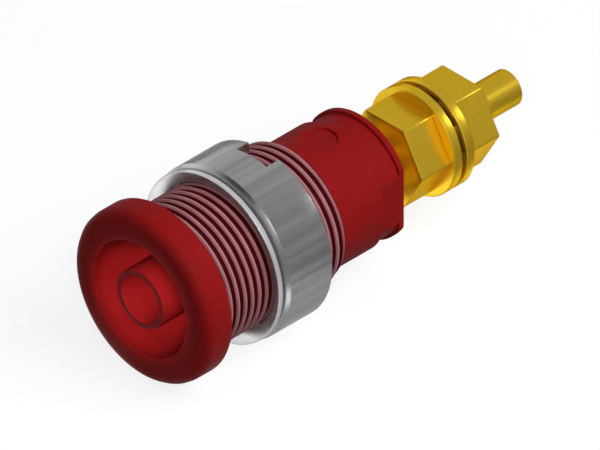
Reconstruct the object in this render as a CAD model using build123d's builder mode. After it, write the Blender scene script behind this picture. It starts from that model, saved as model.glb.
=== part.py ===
from build123d import *
import os

# Panel-mounted 4 mm safety socket with a screw terminal at its rear. The axis runs along Y: the
# mouth faces -Y, the terminal points to +Y, and Y = 0 is the flange face that lies on the panel.
# All sizes are in millimetres.

# Contact, bored for a 4 mm plug: tube, spigot for the tip, shoulder, hexagonal collar, threaded stud
# and solder tail
contact_bore_diameter = 4.0
contact_bore_depth = 17.5
tube_wall = 0.45
spigot_wall = 0.25
spigot_length = 1.6
shoulder_step = 0.35
shoulder_thickness = 0.9
stud_diameter = 4.0
stud_length = 6.74
stud_end_chamfer = 0.3
stud_neck_undercut = 0.3
stud_neck_length = 1.63
wrench_size = 7.0
collar_height = 3.0
tail_diameter = 3.0
tail_length = 3.4
tail_end_chamfer = 0.12

# Insulating tip on the front end of the contact
tip_length = 4.6
tip_rim_chamfer = 0.12

# Moulded housing, from the mouth to the rear; the flange and the ring nut reach equally far past
# the barrel
thread_diameter = 12.0
thread_length = 13.4
thread_end_chamfer = 0.3
panel_overhang = 1.25
flange_thickness = 2.6
flange_front_fillet = 1.0
flange_rear_chamfer = 0.15
body_step = 0.66
body_length = 4.7
neck_groove_depth = 0.29
neck_length = 2.15
lip_thickness = 0.48
flats_across = 9.2
flats_length = 2.68

# Hollow of the housing, depths measured from the mouth: the plug's sleeve enters the gap around
# the contact's tube
sleeve_gap = 1.8
well_depth = 21.5
well_floor_chamfer = 0.3
mouth_step = 0.62
mouth_step_depth = 5.4

# Round recess on top of the body
recess_diameter = 2.9
recess_depth = 0.25
recess_to_neck = 1.77

# Slotted ring nut and the dished spring washer that it presses on the panel
panel_gap = 4.99
ring_nut_height = 4.64
ring_nut_front_chamfer = 0.29
ring_nut_bore_chamfer = 0.3
slot_width = 3.2
slot_depth = 1.3
spring_washer_inset = 0.13
spring_washer_thickness = 0.45
spring_washer_dish = 0.45

# Terminal stack on the stud
terminal_washer_diameter = 9.0
terminal_washer_thickness = 0.8
lock_washer_diameter = 8.0
lock_washer_thickness = 0.5
tooth_count = 11
tooth_length = 0.95
tooth_root_width = 1.3
tooth_tip_width = 1.75
tooth_tip_thickness = 0.26
clamp_nut_height = 3.1
clamp_nut_countersink = 0.25

# Clearances between mating pieces, all radial
thread_clearance = 0.03
spring_washer_clearance = 0.08
terminal_washer_clearance = 0.15
contact_clearance = 0.01
spigot_clearance = 0.01
tip_bore_clearance = 0.02

# Radii that follow from the sizes above
contact_bore_radius = contact_bore_diameter / 2
tube_radius = contact_bore_radius + tube_wall
spigot_radius = contact_bore_radius + spigot_wall
stud_radius = stud_diameter / 2
barrel_radius = thread_diameter / 2
flange_radius = barrel_radius + panel_overhang
body_radius = barrel_radius - body_step
well_radius = tube_radius + sleeve_gap
terminal_hole_radius = stud_radius + terminal_washer_clearance

# Stations along the axis that follow from the sizes above
mouth = -flange_thickness
thread_end = thread_length
body_end = thread_end + body_length
neck_end = body_end + neck_length
housing_rear = neck_end + lip_thickness
mouth_step_end = mouth + mouth_step_depth
well_floor = mouth + well_depth

spigot_shoulder = mouth + tip_length
spigot_front = spigot_shoulder - spigot_length
contact_bore_end = spigot_front + contact_bore_depth
shoulder_end = housing_rear + shoulder_thickness
collar_front = shoulder_end + stud_neck_length
collar_rear = collar_front + collar_height
stud_end = collar_rear + stud_length
tail_end = stud_end + tail_length

spring_washer_rear = panel_gap + spring_washer_thickness + spring_washer_dish
ring_nut_front = spring_washer_rear
ring_nut_rear = ring_nut_front + ring_nut_height
lock_washer_front = collar_rear + terminal_washer_thickness
outer_washer_front = lock_washer_front + lock_washer_thickness
clamp_nut_front = outer_washer_front + terminal_washer_thickness

os.makedirs("parts", exist_ok=True)


# Housing: one moulding, turned about the axis with its stepped mouth and the deep ring-shaped well
# around the contact. The thread on its barrel is left as a plain cylinder of the outer diameter.
with BuildPart() as housing:
    with BuildSketch(Plane.YZ):
        with BuildLine():
            Polyline(
                (mouth, well_radius + mouth_step),
                (mouth, flange_radius),
                (0, flange_radius),
                (0, barrel_radius),
                (thread_end, barrel_radius),
                (thread_end, body_radius),
                (body_end, body_radius),
                (body_end, body_radius - neck_groove_depth),
                (neck_end, body_radius - neck_groove_depth),
                (neck_end, body_radius),
                (housing_rear, body_radius),
                (housing_rear, tube_radius + contact_clearance),
                (well_floor, tube_radius + contact_clearance),
                (well_floor, well_radius),
                (mouth_step_end, well_radius),
                (mouth_step_end, well_radius + mouth_step),
                close=True,
            )
        make_face()
    revolve(axis=Axis.Y)

    # The flange: a full round towards the mouth, a broken edge beside the panel
    flange_rims = housing.edges().filter_by(
        lambda e: e.geom_type == GeomType.CIRCLE and abs(e.radius - flange_radius) < 1e-4
    )
    flange_rims = flange_rims.sort_by(Axis.Y)
    chamfer(flange_rims[-1], length=flange_rear_chamfer)
    fillet(flange_rims[0], radius=flange_front_fillet)

    # The end of the thread is chamfered for the nut to start on
    barrel_rims = housing.edges().filter_by(
        lambda e: e.geom_type == GeomType.CIRCLE and abs(e.radius - barrel_radius) < 1e-4
    )
    chamfer(barrel_rims.sort_by(Axis.Y)[-1], length=thread_end_chamfer)

    # The corner around the floor of the well
    well_rims = housing.edges().filter_by(
        lambda e: e.geom_type == GeomType.CIRCLE and abs(e.radius - well_radius) < 1e-4
    )
    chamfer(well_rims.sort_by(Axis.Y)[-1], length=well_floor_chamfer)

    # Two flats at the sides of the rear end
    flat_depth = 2 * body_radius - flats_across
    with BuildSketch(Plane.ZX.offset(housing_rear - flats_length)):
        with GridLocations(0, flats_across + flat_depth, 1, 2):
            Rectangle(2 * body_radius, flat_depth)
    extrude(amount=flats_length, mode=Mode.SUBTRACT)

    # Shallow round recess on top, just in front of the neck
    with BuildSketch(Plane.XY.offset(body_radius - recess_depth)):
        with Locations((0, body_end - recess_to_neck)):
            Circle(recess_diameter / 2)
    extrude(amount=2 * recess_depth, mode=Mode.SUBTRACT)

housing.part.label = "housing"
export_step(housing.part, "parts/housing.step")


# Insulating tip: a ring in the housing's colour that covers the metal edge of the contact
with BuildPart() as tip_insulator:
    with BuildSketch(Plane.YZ):
        with BuildLine():
            Polyline(
                (mouth, contact_bore_radius + tip_bore_clearance),
                (mouth, tube_radius),
                (spigot_shoulder, tube_radius),
                (spigot_shoulder, spigot_radius + spigot_clearance),
                (spigot_front, spigot_radius + spigot_clearance),
                (spigot_front, contact_bore_radius + tip_bore_clearance),
                close=True,
            )
        make_face()
    revolve(axis=Axis.Y)
    chamfer(tip_insulator.faces().sort_by(Axis.Y)[0].edges(), length=tip_rim_chamfer)

tip_insulator.part.label = "tip_insulator"
export_step(tip_insulator.part, "parts/tip_insulator.step")


# Contact: turned from hexagonal bar, which is left standing as the collar
with BuildPart() as contact:
    with BuildSketch(Plane.YZ):
        with BuildLine():
            Polyline(
                (spigot_front, contact_bore_radius),
                (spigot_front, spigot_radius),
                (spigot_shoulder, spigot_radius),
                (spigot_shoulder, tube_radius),
                (housing_rear, tube_radius),
                (housing_rear, tube_radius + shoulder_step),
                (shoulder_end, tube_radius + shoulder_step),
                (shoulder_end, stud_radius - stud_neck_undercut),
                (collar_front, stud_radius - stud_neck_undercut),
                (collar_front, stud_radius),
                (stud_end, stud_radius),
                (stud_end, tail_diameter / 2),
                (tail_end, tail_diameter / 2),
                (tail_end, 0),
                (contact_bore_end, 0),
                (contact_bore_end, contact_bore_radius),
                close=True,
            )
        make_face()
    revolve(axis=Axis.Y)
    with BuildSketch(Plane.ZX.offset(collar_front)):
        RegularPolygon(radius=wrench_size / 2, side_count=6, major_radius=False, rotation=30)
    extrude(amount=collar_height)

    # Run-in at the end of the thread and a broken edge at the end of the tail
    end_rims = contact.edges().filter_by(GeomType.CIRCLE).sort_by(Axis.Y)
    chamfer(end_rims[-1], length=tail_end_chamfer)
    stud_rims = contact.edges().filter_by(
        lambda e: e.geom_type == GeomType.CIRCLE and abs(e.radius - stud_radius) < 1e-4
    )
    chamfer(stud_rims.sort_by(Axis.Y)[-1], length=stud_end_chamfer)

contact.part.label = "contact"
export_step(contact.part, "parts/contact.step")


# Dished spring washer: its rim faces the panel and its inner edge rests on the ring nut
spring_washer_bore = barrel_radius + spring_washer_clearance
spring_washer_rim = flange_radius - spring_washer_inset
with BuildPart() as spring_washer:
    with BuildSketch(Plane.YZ):
        with BuildLine():
            Polyline(
                (panel_gap + spring_washer_dish, spring_washer_bore),
                (panel_gap, spring_washer_rim),
                (panel_gap + spring_washer_thickness, spring_washer_rim),
                (spring_washer_rear, spring_washer_bore),
                close=True,
            )
        make_face()
    revolve(axis=Axis.Y)

spring_washer.part.label = "spring_washer"
export_step(spring_washer.part, "parts/spring_washer.step")


# Ring nut with two slots in its rear face for a pin wrench
with BuildPart() as ring_nut:
    with BuildSketch(Plane.ZX.offset(ring_nut_front)):
        Circle(flange_radius)
        Circle(barrel_radius + thread_clearance, mode=Mode.SUBTRACT)
    extrude(amount=ring_nut_height)
    front_rims = ring_nut.faces().sort_by(Axis.Y)[0].edges().sort_by(SortBy.RADIUS)
    chamfer(front_rims[-1], length=ring_nut_front_chamfer)
    rear_rims = ring_nut.faces().sort_by(Axis.Y)[-1].edges().sort_by(SortBy.RADIUS)
    chamfer(rear_rims[0], length=ring_nut_bore_chamfer)
    with BuildSketch(Plane.ZX.offset(ring_nut_rear - slot_depth)):
        Rectangle(4 * flange_radius, slot_width)
    extrude(amount=slot_depth, mode=Mode.SUBTRACT)

ring_nut.part.label = "ring_nut"
export_step(ring_nut.part, "parts/ring_nut.step")


# Plain washer against the collar
with BuildPart() as inner_washer:
    with BuildSketch(Plane.ZX.offset(collar_rear)):
        Circle(terminal_washer_diameter / 2)
        Circle(terminal_hole_radius, mode=Mode.SUBTRACT)
    extrude(amount=terminal_washer_thickness)

inner_washer.part.label = "inner_washer"
export_step(inner_washer.part, "parts/inner_washer.step")


# One tooth of the lock washer, the upper one: full thickness at its root, thinner and twisted from
# one face of the washer to the other at its tip
with BuildPart() as lock_tooth:
    with BuildSketch(Plane.XY.offset(lock_washer_diameter / 2 - tooth_length - lock_washer_thickness / 2)):
        with Locations((0, lock_washer_front + lock_washer_thickness / 2)):
            Rectangle(tooth_root_width, lock_washer_thickness)
    with BuildSketch(Plane.XY.offset(lock_washer_diameter / 2)):
        with BuildLine():
            Polyline(
                (-tooth_tip_width / 2, lock_washer_front),
                (tooth_tip_width / 2, outer_washer_front - tooth_tip_thickness),
                (tooth_tip_width / 2, outer_washer_front),
                (-tooth_tip_width / 2, lock_washer_front + tooth_tip_thickness),
                close=True,
            )
        make_face()
    loft(ruled=True)
    with BuildSketch(Plane.ZX.offset(lock_washer_front)):
        Circle(lock_washer_diameter / 2)
    extrude(amount=lock_washer_thickness, mode=Mode.INTERSECT)

# Lock washer: the ring with its external teeth
with BuildPart() as lock_washer:
    with BuildSketch(Plane.ZX.offset(lock_washer_front)):
        Circle(lock_washer_diameter / 2 - tooth_length)
        Circle(terminal_hole_radius, mode=Mode.SUBTRACT)
    extrude(amount=lock_washer_thickness)
    for step in range(tooth_count):
        add(lock_tooth.part.rotate(Axis.Y, step * 360 / tooth_count))

lock_washer.part.label = "lock_washer"
export_step(lock_washer.part, "parts/lock_washer.step")


# Plain washer under the clamping nut
with BuildPart() as outer_washer:
    with BuildSketch(Plane.ZX.offset(outer_washer_front)):
        Circle(terminal_washer_diameter / 2)
        Circle(terminal_hole_radius, mode=Mode.SUBTRACT)
    extrude(amount=terminal_washer_thickness)

outer_washer.part.label = "outer_washer"
export_step(outer_washer.part, "parts/outer_washer.step")


# Hexagonal nut that clamps the wire's lug on the stud, its bore a plain cylinder
with BuildPart() as clamp_nut:
    with BuildSketch(Plane.ZX.offset(clamp_nut_front)):
        RegularPolygon(radius=wrench_size / 2, side_count=6, major_radius=False, rotation=30)
        Circle(stud_radius + thread_clearance, mode=Mode.SUBTRACT)
    extrude(amount=clamp_nut_height)
    chamfer(clamp_nut.edges().filter_by(GeomType.CIRCLE), length=clamp_nut_countersink)

clamp_nut.part.label = "clamp_nut"
export_step(clamp_nut.part, "parts/clamp_nut.step")
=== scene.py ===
"""A 4 mm safety socket for a panel, with its ring nut, its screw terminal and a small studio.

The axis runs along Y, with the mouth at -Y. Angles round it start at +X and turn towards +Z. The functions
that work out a surface do so in millimetres, and everything that Blender is given is in metres.
"""

import math
import types

import bpy
import numpy as np
from bpy.props import FloatProperty, FloatVectorProperty, IntProperty, PointerProperty
from mathutils import Matrix, Vector


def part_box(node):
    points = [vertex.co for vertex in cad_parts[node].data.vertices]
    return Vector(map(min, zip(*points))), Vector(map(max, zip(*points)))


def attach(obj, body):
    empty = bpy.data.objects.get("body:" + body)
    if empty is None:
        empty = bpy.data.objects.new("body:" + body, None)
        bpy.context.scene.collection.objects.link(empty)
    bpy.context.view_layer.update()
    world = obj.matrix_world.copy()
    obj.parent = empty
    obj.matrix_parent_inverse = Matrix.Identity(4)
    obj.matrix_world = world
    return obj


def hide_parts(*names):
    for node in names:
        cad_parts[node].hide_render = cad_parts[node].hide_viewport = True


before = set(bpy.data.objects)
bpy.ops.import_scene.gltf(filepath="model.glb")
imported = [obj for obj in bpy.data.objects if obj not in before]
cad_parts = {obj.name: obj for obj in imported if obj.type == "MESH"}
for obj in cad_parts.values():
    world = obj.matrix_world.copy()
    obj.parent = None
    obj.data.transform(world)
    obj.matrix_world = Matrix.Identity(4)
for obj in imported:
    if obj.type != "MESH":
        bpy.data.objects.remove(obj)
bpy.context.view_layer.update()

bl_info = {
    "name": "Panel safety socket",
    "version": (1, 0, 0),
    "blender": (4, 5, 0),
    "location": "3D View > Sidebar > Socket",
    "description": "Moulded 4 mm safety socket with its ring nut, screw terminal and studio",
    "category": "Mesh",
}

# The boxes of the solids that the pieces stand in for
housing_low, housing_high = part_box("housing")
tip_low, tip_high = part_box("tip_insulator")
contact_low, contact_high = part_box("contact")
dished_low, dished_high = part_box("spring_washer")
ring_nut_low, ring_nut_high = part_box("ring_nut")
inner_low, inner_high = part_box("inner_washer")
lock_low, lock_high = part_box("lock_washer")
outer_low, outer_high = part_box("outer_washer")
clamp_low, clamp_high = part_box("clamp_nut")

SAME = 0.001  # mm: stations or radii closer than this are the same
MARGIN = 0.04  # mm: a row this close to another part of its profile belongs to that part
SHARP_EDGE = math.radians(38)  # a fold sharper than this is shaded as an edge
CORNER_CUT = 0.99  # what a cut corner leaves of the hexagon's corner radius
HEXAGON_RADIUS = 3.4  # mm: a face that starts round has the hexagon's full shape from this radius outwards
PLAIN, PAINTED_SHADE = 0.6, 0.3  # the "thread" attribute on plain red surfaces, and on one that takes the thread roots' painted shade
NOISE_RANGE = {"From Min": 0.3, "From Max": 0.7}  # where nearly all values of a noise texture lie


def linear(code):
    """An sRGB hex colour as the linear red, green and blue that Blender works in."""
    levels = np.array([int(code[i : i + 2], 16) for i in (1, 3, 5)]) / 255
    return tuple(np.where(levels <= 0.04045, levels / 12.92, ((levels + 0.055) / 1.055) ** 2.4).tolist())


def length(name, description, default):
    """A property that holds a length in metres."""
    return FloatProperty(name=name, description=description, default=default, min=0, precision=5, unit="LENGTH")


def number(name, description, default, unit="NONE"):
    """A property that holds a power in watts, or a plain number."""
    return FloatProperty(name=name, description=description, default=default, unit=unit)


def colour(name, description, code):
    """A property that holds a colour, given as sRGB hex."""
    return FloatVectorProperty(name=name, description=description, default=linear(code), min=0, max=1, subtype="COLOR")


def millimetres(group):
    """The lengths of a property group, in millimetres."""
    return types.SimpleNamespace(**{key: 1000 * getattr(group, key) for key in group.__annotations__})


class HousingSizes(bpy.types.PropertyGroup):
    """Sizes of the red moulding and of the tip on the contact."""

    flange_radius: length("Flange radius", "Radius of the flange in front of the panel", housing_high.x)
    flange_fillet: length("Flange fillet", "Radius of the flange's front edge", 0.001)
    barrel_radius: length("Barrel radius", "Major radius of the barrel's thread", 0.006)
    barrel_end: length("Barrel end", "Station where the thread ends", 0.0134)
    barrel_chamfer: length("Barrel chamfer", "Chamfer at the end of the thread", 0.0003)
    body_radius: length("Body radius", "Radius of the plain body behind the thread", 0.00534)
    body_end: length("Body end", "Station where the body steps down to the neck", 0.0181)
    neck_radius: length("Neck radius", "Radius of the groove in front of the rear lip", 0.00505)
    neck_end: length("Neck end", "Station where the rear lip starts", 0.02025)
    bore_radius: length("Bore radius", "Radius of the hole that holds the contact", 0.00246)
    well_radius: length("Well radius", "Outer radius of the well round the contact", 0.00425)
    well_floor: length("Well floor", "Station of the bottom of the well", 0.0189)
    mouth_radius: length("Mouth radius", "Radius of the wider mouth", 0.00487)
    mouth_end: length("Mouth end", "Station where the mouth narrows to the well", 0.0028)
    flats_half: length("Half width over flats", "Distance from the axis to each side flat", 0.0046)
    flats_start: length("Start of the flats", "Station where the side flats start", 0.01805)
    recess_radius: length("Recess radius", "Radius of the shallow recess on top", 0.00145)
    recess_centre: length("Recess centre", "Station of the recess's centre", 0.01633)
    recess_floor: length("Recess floor", "Height of the recess's floor above the axis", 0.00509)
    tip_radius: length("Tip radius", "Outer radius of the insulating tip", tip_high.x)
    tip_bore: length("Tip bore", "Radius of the hole through the tip", 0.00202)
    tip_seat: length("Tip seat", "Radius of the tip's wider hole, which takes the contact's spigot", 0.00226)
    tip_step: length("Tip step", "Station where the tip's hole widens", 0.0004)


class ThreadSizes(bpy.types.PropertyGroup):
    """Pitch, depth and start of the two right-hand screw threads."""

    barrel_pitch: length("Barrel pitch", "Pitch of the barrel's fine thread", 0.00075)
    barrel_depth: length("Barrel depth", "Depth of the barrel's thread", 0.00044)
    barrel_start: length("Barrel crest", "Station of a crest above +X on the barrel", 0.001225)
    stud_pitch: length("Stud pitch", "Pitch of the stud's thread", 0.0007)
    stud_depth: length("Stud depth", "Depth of the stud's thread", 0.0004)
    stud_start: length("Stud crest", "Station of a crest above +X on the stud", 0.0318)
    play: length("Thread play", "Gap between a nut's thread and its screw", 0.00004)


class TerminalSizes(bpy.types.PropertyGroup):
    """Sizes of the contact and of the screw terminal at the rear."""

    tip_face: length("Front end", "Station of the contact's front end, inside the tip", contact_low.y)
    bore_radius: length("Plug bore", "Radius of the contact's bore for the plug", 0.002)
    bore_end: length("Bore end", "Station of the bottom of the plug bore", 0.0179)
    spigot_radius: length("Spigot radius", "Radius of the spigot that carries the tip", 0.00225)
    spigot_end: length("Spigot end", "Station of the shoulder behind the spigot", 0.002)
    tube_radius: length("Tube radius", "Outer radius of the contact's tube", 0.00245)
    shoulder_radius: length("Shoulder radius", "Radius of the shoulder behind the housing", 0.0028)
    shoulder_end: length("Shoulder end", "Station of the shoulder's rear face", 0.02163)
    neck_radius: length("Neck radius", "Radius of the undercut in front of the collar", 0.0017)
    collar_front: length("Collar front", "Station of the collar's front face", 0.02326)
    collar_rear: length("Collar rear", "Station of the collar's rear face", inner_low.y)
    across_flats: length("Width across flats", "Width of the collar and of the nut", clamp_high.z - clamp_low.z)
    stud_radius: length("Stud radius", "Major radius of the stud's thread", 0.002)
    stud_end: length("Stud end", "Station where the thread ends", 0.033)
    stud_chamfer: length("Stud chamfer", "Chamfer at the end of the thread", 0.0003)
    tail_radius: length("Tail radius", "Radius of the tail for soldering", 0.0015)
    hole_radius: length("Washer hole", "Radius of the holes in the three washers", 0.00215)
    washer_radius: length("Washer radius", "Outer radius of the plain washers", inner_high.x)
    countersink: length("Countersink", "Depth of the countersinks of the hexagon nut", 0.00025)
    tooth_root: length("Tooth root", "Radius where the teeth of the lock washer start", 0.00305)
    tooth_tip: length("Tooth tip", "Radius of the tips of the teeth", 0.004)
    root_width: length("Root width", "Width of a tooth at its root", 0.0013)
    tip_width: length("Tip width", "Width of a tooth at its tip", 0.00175)
    tip_thickness: length("Tip thickness", "Thickness of a tooth at its tip", 0.00026)


class PanelSideSizes(bpy.types.PropertyGroup):
    """Sizes of the ring nut and of the dished washer."""

    nut_radius: length("Nut radius", "Outer radius of the ring nut", ring_nut_high.x)
    front_chamfer: length("Front chamfer", "Chamfer at the nut's front edge", 0.00029)
    bore_chamfer: length("Bore chamfer", "Chamfer at the rear of the nut's bore", 0.0003)
    slot_half: length("Half slot width", "Half the width of the two slots", 0.0016)
    slot_floor: length("Slot floor", "Station of the bottom of the slots", 0.00923)
    washer_hole: length("Washer hole", "Radius of the hole in the dished washer", 0.00608)
    washer_rim: length("Washer rim", "Outer radius of the dished washer", dished_high.x)
    washer_dish: length("Washer dish", "Height from the washer's rim to its inner edge", 0.00045)


class Finishes(bpy.types.PropertyGroup):
    """Colours of the red moulding and of the metals."""

    red: colour("Moulded red", "Colour of the housing and the tip", "#961416")
    # The colour of the thread's roots is a painted shade
    painted_root_shade: colour("Painted root shade", "Painted shade in the thread's roots", "#5A1319")
    # The colour of the thread's crests is a painted highlight
    painted_crest_highlight: colour("Painted crest highlight", "Painted highlight on the thread's crests", "#BC8388")
    gold: colour("Gold plate", "Colour of the plated terminal", "#FBD03A")
    gold_edge: colour("Gold at a glance", "Tint of the gold plate seen edge-on", "#FFE08A")
    nickel: colour("Nickel plate", "Colour of the ring nut", "#C4C4C6")
    pale_nickel: colour("Barrelled nickel", "Colour of the dished washer", "#EDEDEE")
    spring_steel: colour("Spring steel", "Colour of the toothed washer", "#A69F8C")


class StageSettings(bpy.types.PropertyGroup):
    """Camera, lamps and floor, and how fine the housing is."""

    view_width: length("View width", "Width of the picture at the object", 0.04486)
    floor_level: FloatProperty(
        name="Floor level", description="Height of the floor", default=housing_low.z, precision=5, unit="LENGTH"
    )
    key_power: number("Key power", "Power of the main lamp", 0.78, "POWER")
    fill_power: number("Fill power", "Power of the lamp by the camera", 0.2, "POWER")
    beam_power: number("Beam power", "Power of the beam in the mouth", 3.9, "POWER")
    beam_radius: length("Beam radius", "Radius of the beam at the mouth", 0.0048)
    ambient: number("Ambient", "Strength of the even light from all sides", 0.13)
    paper_tone: number("Paper tone", "How much light the floor gives back", 0.22)
    columns: IntProperty(name="Columns", description="Facets round the housing", default=240, min=48)


def turned_profile(corners, runs=None, arc=4, closed=True):
    """The stations and the radii, a column each, of a line through (station, radius, edge radius) corners.

    Each corner becomes a circular arc, written as a rational curve of degree two: the mean of the two
    tangent points and the corner, weighted by (1-s)^2, s^2 and 2s(1-s) times the sine of half the
    corner's angle. runs names the stations, or the radii on a face, to add between a corner and the next.
    """
    corners = np.array(corners, float)
    point, edge = corners[:, :2], corners[:, 2:]
    before, after = np.roll(point, 1, 0) - point, np.roll(point, -1, 0) - point
    before /= np.linalg.norm(before, axis=1, keepdims=True)
    after /= np.linalg.norm(after, axis=1, keepdims=True)
    half = np.arccos(np.clip((before * after).sum(1, keepdims=True), -1, 1)) / 2
    start, end = point + before * edge / np.tan(half), point + after * edge / np.tan(half)
    s = np.linspace(0, 1, arc)[None, :, None]
    weights = (1 - s) ** 2, 2 * s * (1 - s) * np.sin(half)[:, None], s**2
    arcs = weights[0] * start[:, None] + weights[1] * point[:, None] + weights[2] * end[:, None]
    arcs /= sum(weights)
    parts = [arcs[i] for i in range(len(point))]
    if not closed:
        parts[0], parts[-1] = point[:1], point[-1:]
    for i, stations in (runs or {}).items():
        first, last = parts[i][-1], parts[(i + 1) % len(parts)][0]
        along = int(abs(last[1] - first[1]) > abs(last[0] - first[0]))
        share = (np.asarray(stations, float) - first[along]) / (last[along] - first[along])
        # Only those that lie between the two corners
        share = np.sort(share[(share > 1e-4) & (share < 1 - 1e-4)])
        parts[i] = np.vstack([parts[i], first + share[:, None] * (last - first)])
    return np.hsplit(np.vstack(parts), 2)


def angles_round(count, extra=()):
    """A row of angles round the axis: evenly spaced, but with the extra ones in place of those that
    are nearer to them than 0.45 of a step."""
    even = np.arange(count) * 2 * np.pi / count
    extra = np.unique(np.round(np.mod(np.ravel(extra), 2 * np.pi), 6))
    if extra.size:
        apart = np.abs(np.angle(np.exp(1j * (even[:, None] - extra)))).min(1)
        even = even[apart > 0.45 * 2 * np.pi / count]
    return np.sort(np.concatenate([even, extra]))[None, :]


def turned(radius, station, angle):
    """Points of a surface of turning: x is r cos t, y the station and z r sin t."""
    radius, station, angle = np.broadcast_arrays(radius, station, angle)
    return np.stack([radius * np.cos(angle), station, radius * np.sin(angle)], -1)


def thread_radius(station, angle, major, depth, pitch, crest):
    """Radius of a right-hand thread: the major radius less the depth times a rounded trapezium wave.

    The wave's phase is (station - crest) / pitch plus the share of a turn, so a crest moves along +Y
    as the angle falls. Crests and roots are flat for about a ninth of the pitch, where the ramp
    times 1.3 is clipped.
    """
    phase = (station - crest) / pitch + angle / (2 * np.pi)
    ramp = np.abs(2 * (phase - np.floor(phase)) - 1) * 2 - 1
    return major - depth * (0.5 - 0.5 * np.sin(np.pi / 2 * np.clip(1.3 * ramp, -1, 1)))


def hexagon_share(angle):
    """Radius of a regular hexagon over that of its corners: cos 30 over the cosine of the angle from
    the nearest side's normal, with the corners cut. The corners lie at 0, 60, 120 degrees."""
    from_normal = np.mod(angle, np.pi / 3) - np.pi / 6
    return np.minimum(np.cos(np.pi / 6) / np.cos(from_normal), CORNER_CUT)


def hexagon_factor(radius, angle, inner):
    """What turns round faces into hexagons: 1 up to the inner radius, and from there it moves, in
    proportion to the radius, to the hexagon's share at HEXAGON_RADIUS."""
    fade = np.clip((radius - inner) / (HEXAGON_RADIUS - inner), 0, 1)
    return 1 + fade * (hexagon_share(angle) - 1)


def hexagon_angles():
    """The angles of a hexagon's corners and of the two ends of each cut corner."""
    cut = np.arccos(np.cos(np.pi / 6) / CORNER_CUT)
    normals = np.arange(6) * np.pi / 3 + np.pi / 6
    return np.concatenate([normals - cut, normals + cut, normals - np.pi / 6])


def linked(data):
    """An object in the scene for a mesh, a lamp or a camera, under the same name."""
    thing = bpy.data.objects.new(data.name, data)
    bpy.context.scene.collection.objects.link(thing)
    return thing


def skinned(name, points, poles=None, marks=None):
    """An object whose mesh is the closed skin over a grid of points, in millimetres.

    Rows run along the profile and columns round the axis. Without poles the rows close on themselves;
    with poles the first and last row are closed by fans to those two points. marks are named weights
    of the points. The sign of the enclosed volume, a sixth of the sum of triple products, decides
    which way the faces turn.
    """
    rows, columns = points.shape[:2]
    index = np.arange(rows * columns).reshape(rows, columns)
    beside, above = np.roll(index, -1, 1), np.roll(index, -1, 0)
    quads = np.stack([index, beside, np.roll(above, -1, 1), above], -1)
    quads = quads[: rows if poles is None else rows - 1].reshape(-1, 4)
    vertices, fans = points.reshape(-1, 3), np.zeros((0, 3), int)
    if poles is not None:
        vertices = np.vstack([vertices, poles])
        first = np.stack([np.full(columns, rows * columns), beside[0], index[0]], -1)
        last = np.stack([np.full(columns, rows * columns + 1), index[-1], beside[-1]], -1)
        fans = np.vstack([first, last])
    a, b, c, d = (vertices[quads[:, i]] for i in range(4))
    volume = (a * np.cross(b, c)).sum() + (a * np.cross(c, d)).sum()
    if volume < 0:
        quads, fans = quads[:, ::-1], fans[:, ::-1]
    mesh = bpy.data.meshes.new(name)
    mesh.from_pydata((vertices / 1000).tolist(), [], quads.tolist() + fans.tolist())
    mesh.shade_smooth()
    mesh.set_sharp_from_angle(angle=SHARP_EDGE)
    for key, weight in (marks or {}).items():
        values = np.zeros(len(vertices))
        values[: rows * columns] = np.broadcast_to(weight, (rows, columns)).ravel()
        mesh.attributes.new(key, "FLOAT", "POINT").data.foreach_set("value", values.astype(np.float32))
    return linked(mesh)


def dressed(piece, body, replaced, maker):
    """Dress a piece and let it ride on its body in place of a CAD node. A material bears the name of
    its maker function, which makes it for the first piece that wears it."""
    name = maker.__name__
    material = bpy.data.materials.get(name) or maker(name, bpy.context.scene.socket_finishes)
    piece.data.materials.append(material)
    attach(piece, body)
    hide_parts(replaced)


def add_node(tree, kind, inputs=None, stops=(), **settings):
    """A new shader node with its settings. Each input gets a value, or a link where a socket is given,
    or a node, which stands for the first of its outputs in use. stops are the places and colours of
    a colour ramp, from 0 to 1."""
    node = tree.nodes.new("ShaderNode" + kind)
    for key, value in settings.items():
        setattr(node, key, value)
    for place, _ in stops[1:-1]:
        node.color_ramp.elements.new(place)
    for i, (_, shade) in enumerate(stops):
        node.color_ramp.elements[i].color = (*shade, 1)
    for key, value in (inputs or {}).items():
        if isinstance(value, bpy.types.Node):
            value = next(output for output in value.outputs if output.enabled)
        if isinstance(value, bpy.types.NodeSocket):
            tree.links.new(value, node.inputs[key])
        else:
            node.inputs[key].default_value = value
    return node


def shader_tree(name):
    """A new material and the tree of its nodes, empty."""
    material = bpy.data.materials.new(name)
    material.use_nodes = True
    material.node_tree.nodes.clear()
    return material, material.node_tree


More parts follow.
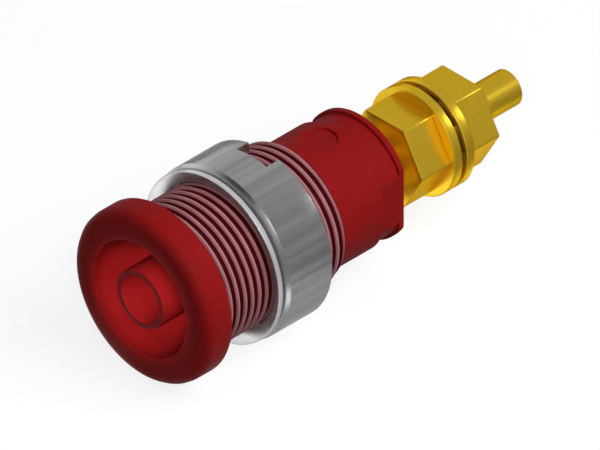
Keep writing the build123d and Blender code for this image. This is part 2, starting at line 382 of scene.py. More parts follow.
def moulded_polyamide(name, finishes):
    """Red polyamide, injection moulded in a spark-eroded tool: a satin skin that scatters nearly all
    of its gloss, so the level of its mirror-like part is low.

    The thread's crests carry a painted highlight, pale pink, and its roots a painted shade. The "thread"
    attribute runs from 0 at a root to 1 at a crest, and is PLAIN on every plain surface.
    """
    material, tree = shader_tree(name)
    place = add_node(tree, "TexCoord").outputs["Object"]
    # Cloudy pigment, about 2 mm a cloud, from the way the melt flowed
    flow = add_node(tree, "TexNoise", {"Vector": place, "Scale": 500.0, "Detail": 3.0})
    cloud = add_node(tree, "MapRange", {"Value": flow, **NOISE_RANGE, "To Min": 0.93, "To Max": 1.05})
    satin = add_node(tree, "MapRange", {"Value": flow, **NOISE_RANGE, "To Min": 0.42, "To Max": 0.52})
    # Eroded grain of 0.07 mm, 0.006 mm high
    grain = add_node(tree, "TexNoise", {"Vector": place, "Scale": 14000.0, "Detail": 2.0})
    bump = add_node(tree, "Bump", {"Height": grain, "Distance": 0.000006, "Strength": 0.5})
    height = add_node(tree, "Attribute", attribute_name="thread").outputs["Fac"]
    # Painted shade in the thread's roots and a painted highlight on its crests, by their height on the thread
    root_shade, crest_highlight = finishes.painted_root_shade, finishes.painted_crest_highlight
    root_and_crest_paint = (0.0, root_shade), (0.54, root_shade), (PLAIN, finishes.red), (0.68, crest_highlight), (1.0, crest_highlight)
    painted_tone = add_node(tree, "ValToRGB", {"Fac": height}, root_and_crest_paint)
    tone = add_node(tree, "HueSaturation", {"Color": painted_tone, "Value": cloud})
    skin = {"Base Color": tone, "Roughness": satin, "Normal": bump}
    plastic = {"IOR": 1.53, "Specular IOR Level": 0.04, "Metallic": 0.0}
    add_node(tree, "OutputMaterial", {"Surface": add_node(tree, "BsdfPrincipled", {**skin, **plastic})})
    return material


def turned_metal(name, shade, gloss, tones, metallic=1.0, line_width=0.09, glance=(1, 1, 1)):
    """A plated metal turned on a lathe, where tool marks 0.09 mm apart run round the axis. Where the
    "bar" attribute is 1 the drawn surface of the bar is left, with lines along the axis instead.

    The marks are drawn coarser than a real feed of 0.05 mm, so that they show. gloss and tones are
    the least and the most roughness and brightness: plating and handling vary the gloss in patches
    of about 1.5 mm, and the marks vary the tone. glance is the tint of the metal seen edge-on.
    """
    material, tree = shader_tree(name)
    place = add_node(tree, "TexCoord").outputs["Object"]
    parts = add_node(tree, "SeparateXYZ", {"Vector": place}).outputs
    across = add_node(tree, "CombineXYZ", {"X": parts["X"], "Z": parts["Z"]})
    radius = add_node(tree, "VectorMath", {0: across}, operation="LENGTH")
    lathe = add_node(tree, "CombineXYZ", {"X": radius, "Y": parts["Y"]})
    # Lathe marks 0.0035 mm deep: noise over radius and station, one cell every 0.09 mm
    rings = add_node(tree, "TexNoise", {"Vector": lathe, "Scale": 11000.0, "Detail": 1.5})
    # Drawn lines: cells as wide as a line, and forty times longer along the axis
    longer = add_node(tree, "Mapping", {"Vector": place, "Scale": (1.0, 0.025, 1.0)})
    lines = add_node(tree, "TexNoise", {"Vector": longer, "Scale": 1000 / line_width, "Detail": 2.5})
    drawn = add_node(tree, "Attribute", attribute_name="bar").outputs["Fac"]
    either = {"Value": drawn, "From Min": 0.4, "From Max": 0.6, "To Min": rings, "To Max": lines}
    marks = add_node(tree, "MapRange", either)
    bump = add_node(tree, "Bump", {"Height": marks, "Distance": 0.0000035, "Strength": 0.6})
    level = add_node(tree, "MapRange", {"Value": marks, **NOISE_RANGE, "To Min": tones[0], "To Max": tones[1]})
    tone = add_node(tree, "HueSaturation", {"Color": (*shade, 1), "Value": level})
    patches = add_node(tree, "TexNoise", {"Vector": place, "Scale": 650.0, "Detail": 3.0})
    satin = add_node(tree, "MapRange", {"Value": patches, **NOISE_RANGE, "To Min": gloss[0], "To Max": gloss[1]})
    skin = {"Base Color": tone, "Roughness": satin, "Normal": bump}
    metal = {"Metallic": metallic, "Specular Tint": (*glance, 1)}
    add_node(tree, "OutputMaterial", {"Surface": add_node(tree, "BsdfPrincipled", {**skin, **metal})})
    return material


def gold_plated_turned_brass(name, finishes):
    """Brass turned from hexagonal bar with a thin lemon-gold plate: bright and satin, so its flats
    show one even tone each."""
    shade, glance = tuple(finishes.gold), tuple(finishes.gold_edge)
    return turned_metal(name, shade, gloss=(0.3, 0.38), tones=(0.96, 1.03), metallic=0.92, glance=glance)


def nickel_plated_turned_steel(name, finishes):
    """Steel turned from polished bar and nickel plated: cool grey, with streaks of 0.6 mm along the
    bar's own surface."""
    return turned_metal(name, tuple(finishes.nickel), gloss=(0.22, 0.3), tones=(0.78, 1.12), line_width=0.6)


def barrelled_nickel_plate(name, finishes):
    """Spring steel stamped, hardened and nickel plated in a barrel: paler and duller than turned
    pieces, because tumbling leaves fine dents in place of tool marks."""
    return turned_metal(name, tuple(finishes.pale_nickel), gloss=(0.26, 0.34), tones=(0.97, 1.03), metallic=0.7)


def stamped_spring_steel(name, finishes):
    """Hardened spring steel, stamped and tumbled: duller than the turned pieces, with a warm cast."""
    return turned_metal(name, tuple(finishes.spring_steel), gloss=(0.36, 0.46), tones=(0.94, 1.05))


def housing_surface(s, threads, facets):
    """The moulding's points and their height on the thread.

    One closed profile is turned about the axis. On the barrel the radius is the lesser of the profile
    and the thread. Behind the start of the flats it is the lesser of the profile and the flat's
    distance over |cos t|. Round the recess the grid's squares are bent into circles: each point moves
    along its ray from the recess's centre until its distance is the greater of its two offsets.
    """
    mouth, rear = 1000 * housing_low.y, 1000 * housing_high.y
    chamfer = s.barrel_end - s.barrel_chamfer
    # The grid's lines round the recess, laid out for a radius of 1.45 mm and dense at its wall
    laid_out = 1.45
    rings = np.array([0.45, 0.9, 1.25, 1.42, 1.445, 1.47, 1.53, 1.7, 1.95]) * s.recess_radius / laid_out
    rings = np.concatenate([-rings, [0], rings])
    # A row this far in front of the flats makes their front edge crisp
    lead = 0.012
    body_rows = np.concatenate([rings + s.recess_centre, [s.flats_start - lead, s.flats_start]])
    station, plain = turned_profile(
        [
            (mouth, s.mouth_radius, 0.1),
            (mouth, s.flange_radius, s.flange_fillet),
            (0, s.flange_radius, 0.15),
            (0, s.barrel_radius, 0.03),
            (chamfer, s.barrel_radius, 0.03),
            (s.barrel_end, s.barrel_radius - s.barrel_chamfer, 0.03),
            (s.barrel_end, s.body_radius, 0.03),
            (s.body_end, s.body_radius, 0.03),
            (s.body_end, s.neck_radius, 0.05),
            (s.neck_end, s.neck_radius, 0.05),
            (s.neck_end, s.body_radius, 0.05),
            (rear, s.body_radius, 0.06),
            (rear, s.bore_radius, 0.03),
            (s.well_floor, s.bore_radius, 0.03),
            (s.well_floor, s.well_radius, 0.3),
            (s.mouth_end, s.well_radius, 0.05),
            (s.mouth_end, s.mouth_radius, 0.1),
        ],
        runs={
            3: np.arange(MARGIN, chamfer, threads.barrel_pitch / 12),
            6: body_rows,
            11: [4.9, 4.6, 4.2],
            14: np.linspace(s.mouth_end, s.well_floor, 6),
            16: [0.0],
        },
        arc=5,
    )
    flat_edges = np.arccos(s.flats_half / np.array([s.body_radius, s.neck_radius]))
    flat_edges = np.concatenate([flat_edges, -flat_edges, np.pi - flat_edges, np.pi + flat_edges])
    angle = angles_round(facets, np.concatenate([flat_edges, np.arccos(rings / s.body_radius)]))

    threaded = thread_radius(
        station, angle, s.barrel_radius, threads.barrel_depth, threads.barrel_pitch, threads.barrel_start
    )
    on_barrel = (plain > s.body_radius + MARGIN) & (plain < s.barrel_radius + MARGIN)
    on_barrel &= (station > -MARGIN) & (station < s.barrel_end - SAME)
    radius = np.where(on_barrel, np.minimum(threaded, plain), plain)
    cut = s.flats_half / np.maximum(np.abs(np.cos(angle)), 1e-6)
    radius = np.where(station > s.flats_start - lead / 2, np.minimum(radius, cut), radius)
    points = turned(radius, station, angle)
    on_thread = 1 - (s.barrel_radius - radius) / threads.barrel_depth

    # Squares become circles up to 1.55 mm from the recess's centre, and stay squares from 2.05 mm on
    x, y = points[..., 0], points[..., 1] - s.recess_centre
    near = np.maximum(np.abs(x), np.abs(y))
    bend = np.clip((2.05 - near * laid_out / s.recess_radius) / 0.5, 0, 1)
    on_body = (np.abs(plain - s.body_radius) < SAME) & (points[..., 2] > 0)
    on_body &= (station > s.barrel_end) & (station < s.flats_start - 1.5 * lead)
    bend = np.where(on_body, bend * bend * (3 - 2 * bend), 0)
    scale = 1 + bend * (near / np.maximum(np.hypot(x, y), 1e-9) - 1)
    x, y = x * scale, y * scale
    # The ring of points just outside the wall is 0.03 mm lower, so that the edge looks rounded
    height = np.sqrt(np.maximum(s.body_radius**2 - x**2, 0))
    height = np.where(near < 1.02 * s.recess_radius, height - 0.03, height)
    height = np.where(near < s.recess_radius, s.recess_floor, height)
    bent = np.stack([x, y + s.recess_centre, height], -1)
    return np.where(bend[..., None] > 0, bent, points), np.where(on_barrel, np.clip(on_thread, 0, 1), PLAIN)


def tip_surface(s, facets=144):
    """The tip's points, a closed ring profile turned about the axis, and the tone of each row: the front
    face gets a painted shade, the same as the thread's roots."""
    front, seat = 1000 * tip_low.y, 1000 * tip_high.y
    station, radius = turned_profile(
        [
            (front, s.tip_bore, 0.09),
            (front, s.tip_radius, 0.12),
            (seat, s.tip_radius, 0.03),
            (seat, s.tip_seat, 0.02),
            (s.tip_step, s.tip_seat, 0.02),
            (s.tip_step, s.tip_bore, 0.02),
        ],
        arc=5,
    )
    # The front face takes the painted shade of the thread's roots
    return turned(radius, station, angles_round(facets)), np.where(station < front + MARGIN, PAINTED_SHADE, PLAIN)


def contact_surface(s, threads, facets=192):
    """The contact's points, its two poles and the weight of its bar flats.

    The profile runs from the bottom of the plug bore round the front to the end of the tail. On the
    stud the radius is the lesser of the profile and the thread. On the collar it is the profile
    times the hexagon's factor. The bar's own surface is left within 0.03 mm of the collar's corners.
    """
    end, corner = 1000 * contact_high.y, s.across_flats / math.sqrt(3)
    shoulder = 1000 * housing_high.y
    floor = s.bore_end + 0.9  # the drill's point goes 0.9 mm deeper than the bore
    profile = turned_profile(
        [
            (floor, 0, 0),
            (s.bore_end, s.bore_radius, 0.05),
            (s.tip_face, s.bore_radius, 0.03),
            (s.tip_face, s.spigot_radius, 0.03),
            (s.spigot_end, s.spigot_radius, 0.02),
            (s.spigot_end, s.tube_radius, 0.03),
            (shoulder, s.tube_radius, 0.03),
            (shoulder, s.shoulder_radius, 0.05),
            (s.shoulder_end, s.shoulder_radius, 0.05),
            (s.shoulder_end, s.neck_radius, 0.05),
            (s.collar_front, s.neck_radius, 0.03),
            (s.collar_front, corner, 0.05),
            (s.collar_rear, corner, 0.05),
            (s.collar_rear, s.stud_radius, 0.02),
            (s.stud_end - s.stud_chamfer, s.stud_radius, 0.03),
            (s.stud_end, s.stud_radius - s.stud_chamfer, 0.03),
            (s.stud_end, s.tail_radius, 0.02),
            (end, s.tail_radius, 0.07),
            (end, 0, 0),
        ],
        runs={
            10: [2.2, 2.8, HEXAGON_RADIUS],
            12: [HEXAGON_RADIUS, 2.8],
            13: np.arange(s.collar_rear, s.stud_end, threads.stud_pitch / 12),
            17: [1.0, 0.5],
        },
        closed=False,
    )
    station, plain = (column[1:-1] for column in profile)
    angle = angles_round(facets, hexagon_angles())
    threaded = thread_radius(station, angle, s.stud_radius, threads.stud_depth, threads.stud_pitch, threads.stud_start)
    on_stud = (station > s.collar_rear + SAME) & (station < s.stud_end - SAME) & (plain > s.tail_radius + MARGIN)
    on_collar = (station > s.collar_front - SAME) & (station < s.collar_rear + SAME) & (plain > s.neck_radius + MARGIN)
    radius = np.where(on_stud, np.minimum(threaded, plain), plain)
    radius = np.where(on_collar, plain * hexagon_factor(plain, angle, inner=2.1), radius)
    bar = on_collar & (plain > corner - 0.03)
    poles = np.array([[0, floor, 0], [0, end, 0]])
    return turned(radius, station, angle), poles, bar.astype(float)


def dished_surface(s, facets=216):
    """The dished washer's points: a slanting closed profile turned about the axis."""
    front, rear = 1000 * dished_low.y, 1000 * dished_high.y
    station, radius = turned_profile(
        [
            (front + s.washer_dish, s.washer_hole, 0.05),
            (front, s.washer_rim, 0.06),
            (rear - s.washer_dish, s.washer_rim, 0.06),
            (rear, s.washer_hole, 0.05),
        ],
        runs={0: [6.3, 6.6, 6.9], 2: [6.9, 6.6, 6.3]},
        arc=5,
    )
    return turned(radius, station, angles_round(facets))


def ring_nut_surface(s, barrel, threads):
    """The ring nut's points, and the weight of the bar's own surface on its rim.

    A closed profile is turned about the axis, and the radius is the greater of the profile and the
    thread, which only its bore comes near. The columns that cross a slot follow the profile up to
    the slot's floor, go straight over the floor, and follow it again. The slot's edges lie at the
    arcsine of half its width over the radius, so its walls are parallel.
    """
    front, rear = 1000 * ring_nut_low.y, 1000 * ring_nut_high.y
    minor = barrel.barrel_radius - threads.barrel_depth + threads.play + 0.05  # crests cut 0.05 mm short
    bore = barrel.barrel_radius + threads.play
    middle = 6.5  # a radius between the bore and the rim
    station, plain = turned_profile(
        [
            (front, bore, 0.02),
            (front, s.nut_radius - s.front_chamfer, 0.2),
            (front + s.front_chamfer, s.nut_radius, 0.03),
            (rear, s.nut_radius, 0.04),
            (rear, bore + s.bore_chamfer, 0.03),
            (rear - s.bore_chamfer - bore + minor, minor, 0.03),
            (front + bore - minor, minor, 0.03),
        ],
        runs={
            0: [6.4, 6.8],
            2: [7.5, s.slot_floor],
            3: [7.0, 6.7, middle],
            5: np.append(np.arange(front, rear, threads.barrel_pitch / 10), s.slot_floor),
        },
    )
    on_floor = np.abs(station[:, 0] - s.slot_floor) < SAME
    first = int(np.flatnonzero(on_floor & (plain[:, 0] > middle))[0])
    last = int(np.flatnonzero(on_floor & (plain[:, 0] < middle))[0])

    # Columns over a slot and beside it; the outer ones over it stay just off its walls, so that those are steep
    over, beside = 0.996 * np.linspace(1, -1, 15), np.linspace(0, 1, 96)
    half = np.arcsin(s.slot_half / np.maximum(plain, minor))
    slot = np.pi / 2 - np.arcsin(over * s.slot_half / plain)
    rim = np.pi / 2 + half + beside * (np.pi - 2 * half)
    angle = np.hstack([slot, rim, slot + np.pi, rim + np.pi])
    crossing = np.arange(angle.shape[1]) % (over.size + beside.size) < over.size

    share = np.clip((np.arange(len(plain)) - first) / (last - first), 0, 1)[:, None]
    notched = crossing & (share > 0) & (share < 1)
    straight = plain[first] + share * (plain[last] - plain[first])
    station = np.where(notched, s.slot_floor, station)
    base = np.where(notched, straight, plain)
    angle = np.where(notched, slot_angle(base, over, s.slot_half, crossing), angle)
    threaded = thread_radius(
        station, angle, barrel.barrel_radius, threads.barrel_depth, threads.barrel_pitch, threads.barrel_start
    )
    radius = np.where(notched, base, np.maximum(base, threaded + threads.play))
    # The rim alone is the bar's surface, without its rounded edges
    return turned(radius, station, angle), (radius > s.nut_radius - 0.002).astype(float)


def slot_angle(radius, over, half_width, crossing):
    """The angles of the columns that cross a slot: pi/2 less the arcsine of their offset over the
    radius, and half a turn more for the lower slot."""
    offset = np.zeros(crossing.size)
    offset[crossing] = np.tile(over, 2) * half_width
    turn = np.where(np.arange(crossing.size) < crossing.size // 2, 0, np.pi)
    return np.pi / 2 - np.arcsin(np.clip(offset / radius, -1, 1)) + turn


def plain_washer_surface(s, front, rear, facets=180):
    """A plain washer's points: a stamped ring's profile turned about the axis, rounder on the punched
    side than on the other."""
    station, radius = turned_profile(
        [
            (front, s.hole_radius, 0.05),
            (front, s.washer_radius, 0.09),
            (rear, s.washer_radius, 0.05),
            (rear, s.hole_radius, 0.03),
        ],
        runs={0: [2.9, 3.7], 2: [3.7, 2.9]},
        arc=5,
    )
    return turned(radius, station, angles_round(facets))


def lock_washer_surface(s, front, rear, teeth=11):
    """The toothed washer's points.

    The rows run out over the front face and back over the rear one, and each tooth's nine columns
    run out to its tip, while the four of a gap go down the ring's edge instead. A tooth's height is
    a ramp across it, times the share of the way from its root to its tip, and its thickness falls by
    the same share. The outer columns stay 1.5 % inside the tooth's width, so that its sides are steep.
    """
    middle, half_ring, half_tip = (front + rear) / 2, (rear - front) / 2, s.tip_thickness / 2
    out = np.concatenate([np.zeros(4), np.linspace(0, 1, 7)])
    way = np.concatenate([out, out[::-1]])[:, None]
    face = np.linspace(s.hole_radius, s.tooth_root, 5)[:-1]
    face = np.concatenate([face, s.tooth_root + out[4:] * (s.tooth_tip - s.tooth_root)])
    radius = np.concatenate([face, face[::-1]])[:, None]
    side = np.repeat([1, -1], out.size)[:, None]

    across = np.concatenate([np.linspace(-1, 1, 9), np.linspace(-1, 1, 4)])
    tooth = np.arange(across.size) < 9
    width = s.root_width + way * (s.tip_width - s.root_width)
    half = np.arcsin(width / 2 / np.maximum(radius, s.tooth_root))
    pitch = 2 * np.pi / teeth
    turn = np.where(tooth, across * 0.985 * half, half + (across + 1) / 2 * (pitch - 2 * half))

    thick = half_ring + way * (half_tip - half_ring)
    ramp = np.where(tooth, across, 0) * way * (half_ring - half_tip)
    down = np.zeros(way.shape)
    down[4:-4, 0] = np.linspace(1, -1, 16)[1:-1]
    in_gap = ~tooth & (radius > s.tooth_root - SAME)
    height = np.where(in_gap, middle + down * half_ring, middle + side * thick + ramp)
    radius = np.where(tooth, radius, np.minimum(radius, s.tooth_root))

    start = np.pi / 2 + np.arange(teeth)[None, :, None] * pitch
    angle = (start + turn[:, None, :]).reshape(len(way), -1)
    return turned(np.tile(radius, (1, teeth)), np.tile(height, (1, teeth)), angle)


def clamp_nut_surface(s, threads, facets=168):
    """The hexagonal nut's points and the weight of its bar flats, which reach within 0.03 mm of its
    corners: the greater of a closed profile and the thread, times the hexagon's factor."""
    front, rear = 1000 * clamp_low.y, 1000 * clamp_high.y
    corner = s.across_flats / math.sqrt(3)
    bore = s.stud_radius + threads.play
    minor = s.stud_radius - threads.stud_depth + threads.play + 0.04  # crests cut 0.04 mm short
    sink = bore + s.countersink
    station, plain = turned_profile(
        [
            (front, sink, 0.03),
            (front, corner, 0.05),
            (rear, corner, 0.05),
            (rear, sink, 0.03),
            (rear - (sink - minor), minor, 0.03),
            (front + (sink - minor), minor, 0.03),
        ],
        runs={
            0: [2.6, 3.0, HEXAGON_RADIUS],
            2: [HEXAGON_RADIUS, 3.0, 2.6],
            4: np.arange(front, rear, threads.stud_pitch / 12),
        },
    )
    angle = angles_round(facets, hexagon_angles())
    threaded = thread_radius(station, angle, s.stud_radius, threads.stud_depth, threads.stud_pitch, threads.stud_start)
    radius = np.maximum(plain, threaded + threads.play) * hexagon_factor(plain, angle, inner=2.5)
    return turned(radius, station, angle), (plain > corner - 0.03).astype(float)


class SOCKET_OT_housing(bpy.types.Operator):
    """Make the threaded red moulding."""

    bl_idname = "socket.housing"
    bl_label = "Housing"

    def execute(self, context):
        scene = context.scene
        sizes, threads = millimetres(scene.socket_housing), millimetres(scene.socket_threads)
        points, height = housing_surface(sizes, threads, scene.socket_stage.columns)
        piece = skinned("moulded_housing", points, marks={"thread": height})
        dressed(piece, "socket_body", "housing", moulded_polyamide)
        return {"FINISHED"}


class SOCKET_OT_tip(bpy.types.Operator):
    """Make the red ring that covers the front edge of the contact."""

    bl_idname = "socket.tip"
    bl_label = "Insulating tip"

    def execute(self, context):
        points, tone = tip_surface(millimetres(context.scene.socket_housing))
        piece = skinned("insulating_tip", points, marks={"thread": tone})
        dressed(piece, "socket_body", "tip_insulator", moulded_polyamide)
        return {"FINISHED"}


class SOCKET_OT_contact(bpy.types.Operator):
    """Make the turned contact with its collar, stud and tail."""

    bl_idname = "socket.contact"
    bl_label = "Contact"

    def execute(self, context):
        scene = context.scene
        points, poles, bar = contact_surface(millimetres(scene.socket_terminal), millimetres(scene.socket_threads))
        piece = skinned("turned_contact", points, poles, marks={"bar": bar})
        dressed(piece, "socket_body", "contact", gold_plated_turned_brass)
        return {"FINISHED"}


class SOCKET_OT_panel_side(bpy.types.Operator):
    """Make the dished washer and the slotted ring nut."""

    bl_idname = "socket.panel_side"
    bl_label = "Ring nut and dished washer"

    def execute(self, context):
        scene = context.scene
        sizes, threads = millimetres(scene.socket_panel_side), millimetres(scene.socket_threads)
        washer = skinned("dished_washer", dished_surface(sizes))
        dressed(washer, "panel_washer", "spring_washer", barrelled_nickel_plate)
        points, bar = ring_nut_surface(sizes, millimetres(scene.socket_housing), threads)
        nut = skinned("slotted_ring_nut", points, marks={"bar": bar})
        dressed(nut, "panel_nut", "ring_nut", nickel_plated_turned_steel)
        return {"FINISHED"}


class SOCKET_OT_washers(bpy.types.Operator):
    """Make the two plain washers and the toothed one between them."""

    bl_idname = "socket.washers"
    bl_label = "Terminal washers"

    def execute(self, context):
        sizes = millimetres(context.scene.socket_terminal)
        inner = skinned("inner_plain_washer", plain_washer_surface(sizes, 1000 * inner_low.y, 1000 * inner_high.y))
        dressed(inner, "inner_disc", "inner_washer", gold_plated_turned_brass)
        outer = skinned("outer_plain_washer", plain_washer_surface(sizes, 1000 * outer_low.y, 1000 * outer_high.y))
        dressed(outer, "outer_disc", "outer_washer", gold_plated_turned_brass)
        teeth = skinned("toothed_lock_washer", lock_washer_surface(sizes, 1000 * lock_low.y, 1000 * lock_high.y))
        dressed(teeth, "toothed_disc", "lock_washer", stamped_spring_steel)
        return {"FINISHED"}


class SOCKET_OT_clamp_nut(bpy.types.Operator):
    """Make the hexagonal nut of the terminal."""

    bl_idname = "socket.clamp_nut"
    bl_label = "Clamping nut"

    def execute(self, context):
        scene = context.scene
        points, bar = clamp_nut_surface(millimetres(scene.socket_terminal), millimetres(scene.socket_threads))
        piece = skinned("hexagon_clamp_nut", points, marks={"bar": bar})
        dressed(piece, "terminal_nut", "clamp_nut", gold_plated_turned_brass)
        return {"FINISHED"}


def seen_rays(tree):
    """The Light Path's outputs, and a node that gives 1 for a camera or transmission ray."""
    path = add_node(tree, "LightPath").outputs
    direct = {0: path["Is Camera Ray"], 1: path["Is Transmission Ray"]}
    return path, add_node(tree, "Math", direct, operation="MAXIMUM")


def soft_patch(tree, place, centre, reach, solid, level):
    """A level inside an ellipse on the floor: full over the solid share of its reach, then down to none
    at its edge. The share is the length of the offset from the centre over the reach."""
    offset = add_node(tree, "VectorMath", {0: place, 1: (*centre, 0.0)}, operation="SUBTRACT")
    share = add_node(tree, "VectorMath", {0: offset, 1: (1 / reach[0], 1 / reach[1], 0.0)}, operation="MULTIPLY")
    far = add_node(tree, "VectorMath", {0: share}, operation="LENGTH")
    edge = {"Value": far, "From Min": solid, "From Max": 1.0, "To Min": level, "To Max": 0.0}
    return add_node(tree, "MapRange", edge)


# Cards of light that only metal sees on the floor: centre and reach along X and Y in metres, the share of
# the reach at full level, and the level, where 1 is white
FLOOR_CARDS = (
    ((0.002, 0.033), (0.009, 0.014), 0.5, 0.45),  # a soft one for the flats of the terminal
    ((0.0045, 0.035), (0.0022, 0.014), 0.2, 1.3),  # a bright line along its tail
    ((0.0125, 0.0), (0.006, 0.005), 0.2, 1.8),  # for the front edge of the ring nut
    ((-0.006, -0.0005), (0.008, 0.007), 0.3, 2.6),  # for the ends of the dished washer
    ((-0.0014, 0.021), (0.0035, 0.004), 0.5, 2.0),  # for the lower ends of the collar and the inner washer
)
WHITE = 1.06  # a little over white, so that the paper's mottle doesn't show on the background
DIM_PAPER = 0.08  # what metal sees of the floor where there is no card of light


def white_paper(tone):
    """Matt studio paper with a fibre mottle of about 3 mm.

    The camera sees it lit up to white, with the object's shadow left on it. Metal sees that white in
    a wide pool of light on the left, which fades from the axis to the right, and in the cards on
    the floor, and a dim paper elsewhere. What the paper's tone lacks to white is added as a glow.
    """
    material, tree = shader_tree("white_studio_paper")
    place = add_node(tree, "TexCoord").outputs["Object"]
    fibre = add_node(tree, "TexNoise", {"Vector": place, "Scale": 330.0, "Detail": 4.0})
    shade = add_node(tree, "MapRange", {"Value": fibre, "To Min": 0.97 * tone, "To Max": 1.03 * tone})
    matt = add_node(tree, "BsdfDiffuse", {"Color": shade})
    path, direct = seen_rays(tree)
    # How far a place lies to the right of a line that runs nearly along the axis
    rightwards = add_node(tree, "VectorMath", {0: place, 1: (0.944, 0.33, 0.0)}, operation="DOT_PRODUCT")
    fade = {"Value": rightwards, "From Min": 0.0, "From Max": 0.009, "To Min": 1.0, "To Max": 0.3}
    left = add_node(tree, "MapRange", fade, interpolation_type="SMOOTHSTEP")
    wide = soft_patch(tree, place, (-0.01, 0.008), (0.3, 0.03), 0.2, 1.0)
    pool = add_node(tree, "Math", {0: wide, 1: left}, operation="MULTIPLY")
    level = add_node(tree, "Math", {0: pool, 1: DIM_PAPER}, operation="MAXIMUM")
    for card in FLOOR_CARDS:
        level = add_node(tree, "Math", {0: level, 1: soft_patch(tree, place, *card)}, operation="MAXIMUM")
    mirrored = add_node(tree, "Math", {0: path["Is Glossy Ray"], 1: level}, operation="MULTIPLY")
    seen = add_node(tree, "Math", {0: direct, 1: mirrored}, operation="MAXIMUM")
    lift = add_node(tree, "Math", {0: seen, 1: WHITE - tone}, operation="MULTIPLY")
    glow = add_node(tree, "Emission", {"Color": (1, 1, 1, 1), "Strength": lift})
    add_node(tree, "OutputMaterial", {"Surface": add_node(tree, "AddShader", {0: matt, 1: glow})})
    return material


def paper_sheet(level, reach=1.5, rings=12, facets=64):
    """A round sheet of paper: rings whose radii grow with the square of their number, from a tiny one
    up to the reach in metres, and a fan that closes the middle."""
    radius = reach * np.linspace(0.02, 1, rings)[:, None] ** 2
    around = angles_round(facets)
    grid = np.stack(np.broadcast_arrays(radius * np.cos(around), radius * np.sin(around), level), -1)
    index = np.arange(rings * facets).reshape(rings, facets)
    beside = np.roll(index, -1, 1)
    quads = np.stack([index[:-1], index[1:], beside[1:], beside[:-1]], -1).reshape(-1, 4)
    fan = np.stack([np.full(facets, rings * facets), index[0], beside[0]], -1)
    mesh = bpy.data.meshes.new("studio_floor")
    mesh.from_pydata(grid.reshape(-1, 3).tolist() + [(0, 0, level)], [], quads.tolist() + fan.tolist())
    return linked(mesh)


def dim_room(ambient):
    """The world: an even light on the object and white behind it. Metal mirrors a dim room, with a
    white wall on the left, a ramp over the direction's x, and a dark flag high at the front, full
    within 14 degrees of its middle and gone past 28, a ramp over the cosine of that angle."""
    world = bpy.data.worlds.new("studio_world")
    world.use_nodes = True
    tree = world.node_tree
    tree.nodes.clear()
    direction = add_node(tree, "TexCoord").outputs["Generated"]
    across = add_node(tree, "SeparateXYZ", {"Vector": direction}).outputs["X"]
    share = add_node(tree, "MapRange", {"Value": across, "From Min": -1.0, "From Max": 1.0})
    # Grey levels of the walls, from the left to the right
    greys = (0.0, (1.2, 1.2, 1.2)), (0.14, (0.5, 0.5, 0.5)), (1.0, (0.33, 0.33, 0.33))
    walls = add_node(tree, "ValToRGB", {"Fac": share}, greys)
    towards = add_node(tree, "VectorMath", {0: direction, 1: (-0.25, -0.7, 0.67)}, operation="DOT_PRODUCT")
    flag = {"Value": towards, "From Min": 0.88, "From Max": 0.97, "To Min": 1.0, "To Max": 0.12}
    flagged = add_node(tree, "MapRange", flag, interpolation_type="SMOOTHSTEP")
    gloss = add_node(tree, "Math", {0: walls, 1: flagged}, operation="MULTIPLY")
    path, direct = seen_rays(tree)
    room = add_node(tree, "MapRange", {"Value": path["Is Glossy Ray"], "To Min": ambient, "To Max": gloss})
    level = add_node(tree, "Math", {0: direct, 1: room}, operation="MAXIMUM")
    back = add_node(tree, "Background", {"Color": (1, 1, 1, 1), "Strength": level})
    add_node(tree, "OutputWorld", {"Surface": back})
    return world


def aimed(data, place, turn):
    """The object of a lamp or a camera, at a place and turned by a quaternion."""
    thing = linked(data)
    thing.location = place
    thing.rotation_mode = "QUATERNION"
    thing.rotation_quaternion = turn
    return thing


def studio_lamp(name, target, direction, distance, size, power, lights=True, mirrored=True):
    """A square soft lamp that faces the target from a direction. It lights matt surfaces, is mirrored
    in glossy ones, or both."""
    lamp = bpy.data.lights.new(name, "AREA")
    lamp.shape, lamp.size, lamp.energy = "SQUARE", size, power
    towards = Vector(direction).normalized()
    holder = aimed(lamp, target + towards * distance, towards.to_track_quat("Z", "Y"))
    holder.visible_diffuse, holder.visible_glossy, holder.visible_camera = lights, mirrored, False


def mouth_beam(target, direction, distance, radius, power):
    """A snooted lamp whose narrow beam fills the mouth and leaves the flange alone. Seen along the
    beam the mouth is an ellipse, squashed along Y, so the lamp's cone is squashed the same way. The
    cone's angle is twice the arctangent of the beam's radius over the distance. A bulb of 0.8 mm
    radius and a blended edge keep the light's border soft."""
    lamp = bpy.data.lights.new("mouth_beam", "SPOT")
    lamp.energy, lamp.shadow_soft_size = power, 0.0008
    lamp.spot_size, lamp.spot_blend = 2 * math.atan(radius / distance), 0.12
    towards = Vector(direction).normalized()
    sideways = Vector((0, 1, 0)).cross(towards).normalized()
    turn = Matrix((sideways, towards.cross(sideways), towards)).transposed().to_quaternion()
    holder = aimed(lamp, target + towards * distance, turn)
    holder.scale = (1, abs(towards.y), 1)
    holder.visible_glossy = False


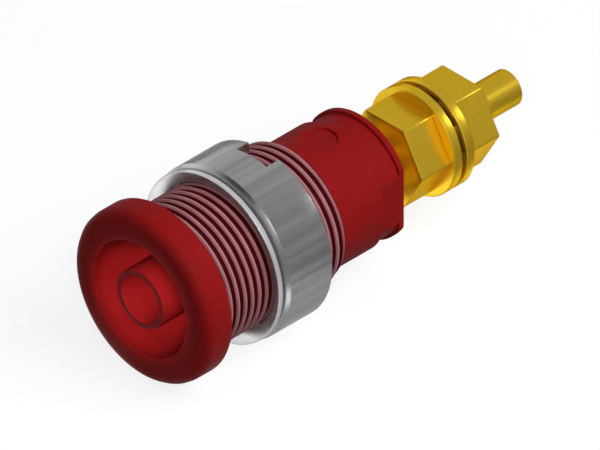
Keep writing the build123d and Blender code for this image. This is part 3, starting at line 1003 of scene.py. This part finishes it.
class SOCKET_OT_stage(bpy.types.Operator):
    """Make the floor, the lamps, the world and the camera."""

    bl_idname = "socket.stage"
    bl_label = "Studio"

    def execute(self, context):
        scene = context.scene
        settings = scene.socket_stage
        floor = paper_sheet(settings.floor_level)
        floor.data.materials.append(white_paper(settings.paper_tone))
        scene.world = dim_room(settings.ambient)

        centre = Vector((0.0, 0.0169, 0.0))
        key, fill = settings.key_power, settings.fill_power
        studio_lamp("key_lamp", centre, (0.62, 0.15, 0.76), distance=0.32, size=0.2, power=key, mirrored=False)
        studio_lamp("fill_lamp", centre, (0.577, -0.577, 0.577), distance=0.34, size=0.1, power=fill)
        # A glint on the front edges
        studio_lamp("front_glint", centre, (-0.45, -0.88, 0.12), distance=0.3, size=0.12, power=0.05, lights=False)
        # One on the rims of the terminal, near it, so that the ring nut, farther along, doesn't mirror it
        rims = Vector((0.0, 0.0308, 0.0))
        studio_lamp("rear_glint", rims, (0.557, 0.577, 0.596), distance=0.04, size=0.006, power=0.0016, lights=False)
        # One on the face of the inner washer, past the corner of the collar
        face = Vector((0.0033, inner_low.y, 0.0019))
        studio_lamp("washer_glint", face, (0.788, -0.577, 0.211), distance=0.008, size=0.007, power=7e-5, lights=False)
        mouth = Vector((0.0, housing_low.y, 0.0))
        mouth_beam(mouth, (1, -1.1, 1), distance=0.3, radius=settings.beam_radius, power=settings.beam_power)
        scene.view_settings.view_transform = "Standard"

        # Isometric view, from 0.3 m: the centre of the picture passes through this point of the object
        middle = Vector((0.006189, 0.008161, 0.004572))
        view = bpy.data.cameras.new("isometric_camera")
        view.type, view.ortho_scale = "ORTHO", settings.view_width
        view.clip_start, view.clip_end = 0.001, 2.0
        backwards = Vector((1, -1, 1)).normalized()
        scene.camera = aimed(view, middle + 0.3 * backwards, (-backwards).to_track_quat("-Z", "Y"))
        return {"FINISHED"}


OPERATORS = (
    SOCKET_OT_housing,
    SOCKET_OT_tip,
    SOCKET_OT_contact,
    SOCKET_OT_panel_side,
    SOCKET_OT_washers,
    SOCKET_OT_clamp_nut,
    SOCKET_OT_stage,
)


class SOCKET_PT_panel(bpy.types.Panel):
    """Lists the pieces of the socket and the studio."""

    bl_idname = "SOCKET_PT_panel"
    bl_label = "Panel safety socket"
    bl_space_type = "VIEW_3D"
    bl_region_type = "UI"
    bl_category = "Socket"

    def draw(self, context):
        for operator in OPERATORS:
            self.layout.operator(operator.bl_idname)


GROUPS = {
    "socket_housing": HousingSizes,
    "socket_threads": ThreadSizes,
    "socket_terminal": TerminalSizes,
    "socket_panel_side": PanelSideSizes,
    "socket_finishes": Finishes,
    "socket_stage": StageSettings,
}


def register():
    """Register the groups, hang each on the scene, and register the operators and the panel."""
    for group in GROUPS.values():
        bpy.utils.register_class(group)
    for key, group in GROUPS.items():
        setattr(bpy.types.Scene, key, PointerProperty(type=group))
    for operator in OPERATORS:
        bpy.utils.register_class(operator)
    bpy.utils.register_class(SOCKET_PT_panel)


def unregister():
    """Take back what register did, in the opposite order."""
    bpy.utils.unregister_class(SOCKET_PT_panel)
    for operator in reversed(OPERATORS):
        bpy.utils.unregister_class(operator)
    for key, group in reversed(GROUPS.items()):
        delattr(bpy.types.Scene, key)
        bpy.utils.unregister_class(group)


def main():
    """Make the pieces and the studio."""
    register()
    bpy.ops.socket.housing()
    bpy.ops.socket.tip()
    bpy.ops.socket.contact()
    bpy.ops.socket.panel_side()
    bpy.ops.socket.washers()
    bpy.ops.socket.clamp_nut()
    bpy.ops.socket.stage()


if __name__ == "__main__":
    main()
